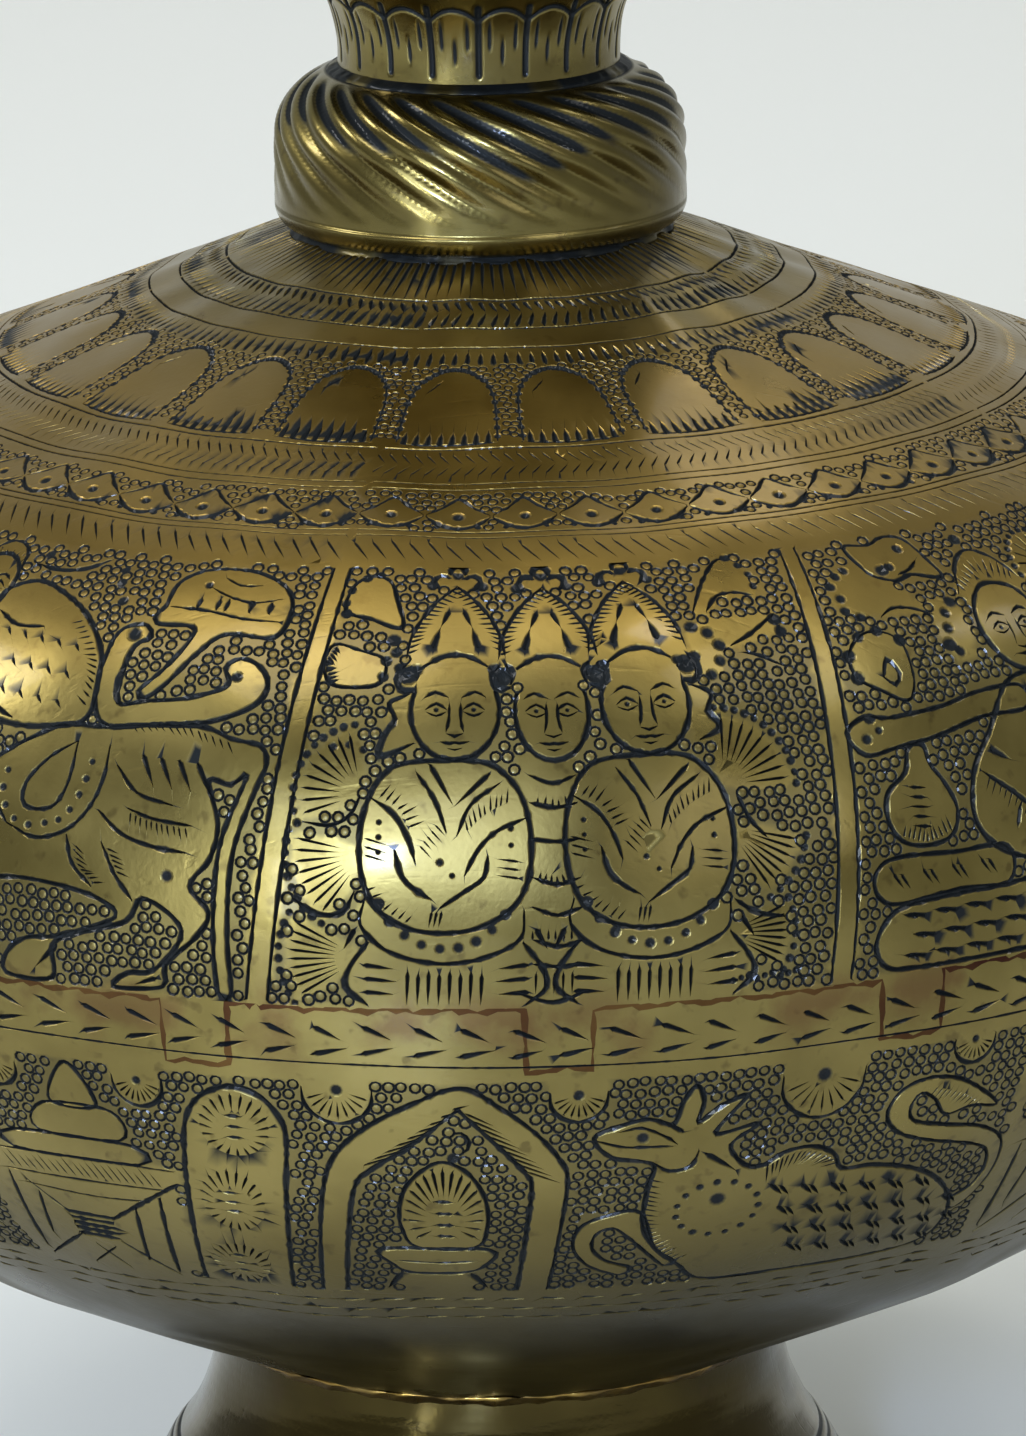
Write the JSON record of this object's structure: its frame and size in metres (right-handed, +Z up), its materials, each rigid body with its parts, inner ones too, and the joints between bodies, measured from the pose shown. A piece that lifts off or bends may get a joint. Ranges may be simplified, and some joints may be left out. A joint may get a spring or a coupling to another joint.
{
  "type": "brass kalash pot",
  "caption": "Engraved brass kalash: wide flattened water pot with a castellated brazed belt seam, twisted neck collar, flared mouth and pedestal foot.",
  "frame": {"origin": "centre of the ring that the pot stands on, at ground level", "axes": "+Z up along the pot's axis; X and Y are level, and a tab of the seam is centred 4 degrees round from +X towards +Y"},
  "size_m": [0.23, 0.23, 0.2283],
  "materials": {
    "body_brass": "hand-engraved, patinated olive-gold, grooves filled near-black",
    "neck_brass": "hand-chased, darker patina, rubbed bright on the high places",
    "braze": "copper-red spelter, dull",
    "wire": "dull drawn wire, hidden inside the rolled edges"
  },
  "bodies": {
    "root": {"upper_shell": "body_brass", "lower_bowl": "body_brass", "seam_braze": "braze", "neck_funnel": "neck_brass", "lip_wire": "wire", "neck_collar": "neck_brass", "collar_braze": "braze", "collar_top_braze": "braze", "foot": "body_brass", "foot_wire": "wire", "foot_braze": "braze"}
  },
  "joints": []
}
